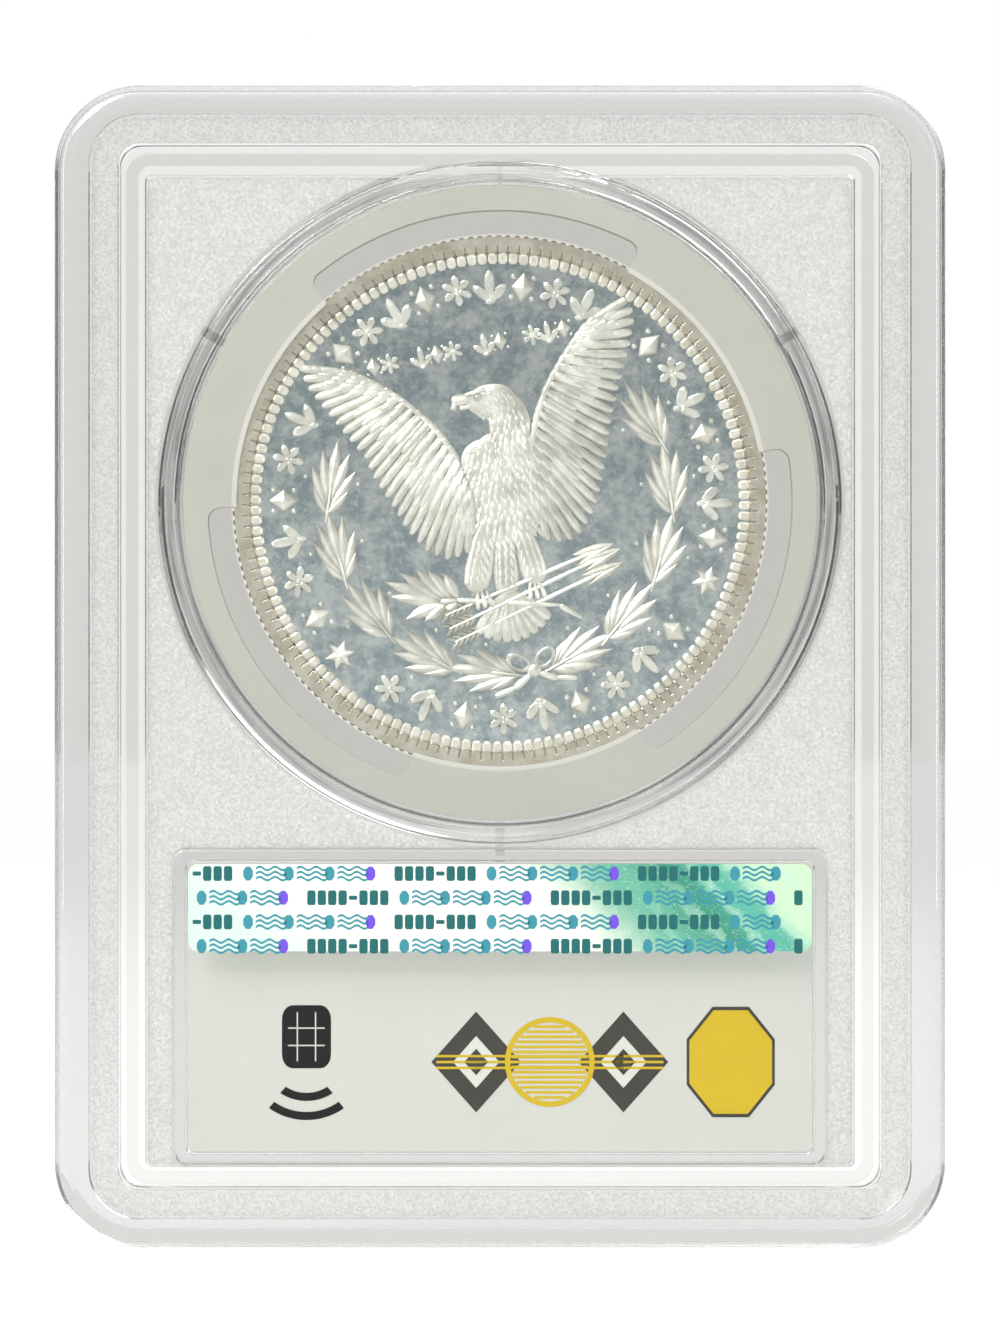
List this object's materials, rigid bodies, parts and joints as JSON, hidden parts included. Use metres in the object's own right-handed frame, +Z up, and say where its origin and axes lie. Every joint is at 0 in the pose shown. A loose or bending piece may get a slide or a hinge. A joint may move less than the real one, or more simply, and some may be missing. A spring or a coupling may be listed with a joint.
{
  "type": "graded coin slab",
  "caption": "Sealed clear plastic coin holder with a large reeded silver coin in a three-land soft ring, a printed label window and a foil security strip.",
  "frame": {"origin": "middle of the bottom edge that the slab stands on", "axes": "+Z up the height, +X across the width, Y through the thickness with the rear (reverse) window towards -Y"},
  "size_m": [0.0632, 0.0078, 0.0826],
  "materials": {
    "clear_shell": "clear polystyrene, polished windows and rims with a fine frosted texture on the panels",
    "soft_ring": "translucent soft thermoplastic, satin",
    "silver": "struck silver, mirror fields, frosted devices, light toning",
    "label_card": "uncoated light grey card, printed",
    "tag_film": "clear carrier film",
    "tag_metal": "etched foil",
    "tag_chip": "bare chip",
    "foil_strip": "diffractive security foil"
  },
  "bodies": {
    "case": {"rear_shell": "clear_shell", "front_shell": "clear_shell", "coin_insert": "soft_ring", "rear_label_card": "label_card", "front_label_card": "label_card", "tag_film": "tag_film", "tag_coil": "tag_metal", "tag_chip": "tag_chip", "security_sticker": "foil_strip"},
    "coin": {"coin": "silver"}
  },
  "joints": [
    {"name": "coin_spin", "type": "hinge", "parent": "case", "child": "coin", "pos_m": [0, 0, 0.05297], "axis": [0, -1, 0], "continuous": true}
  ]
}
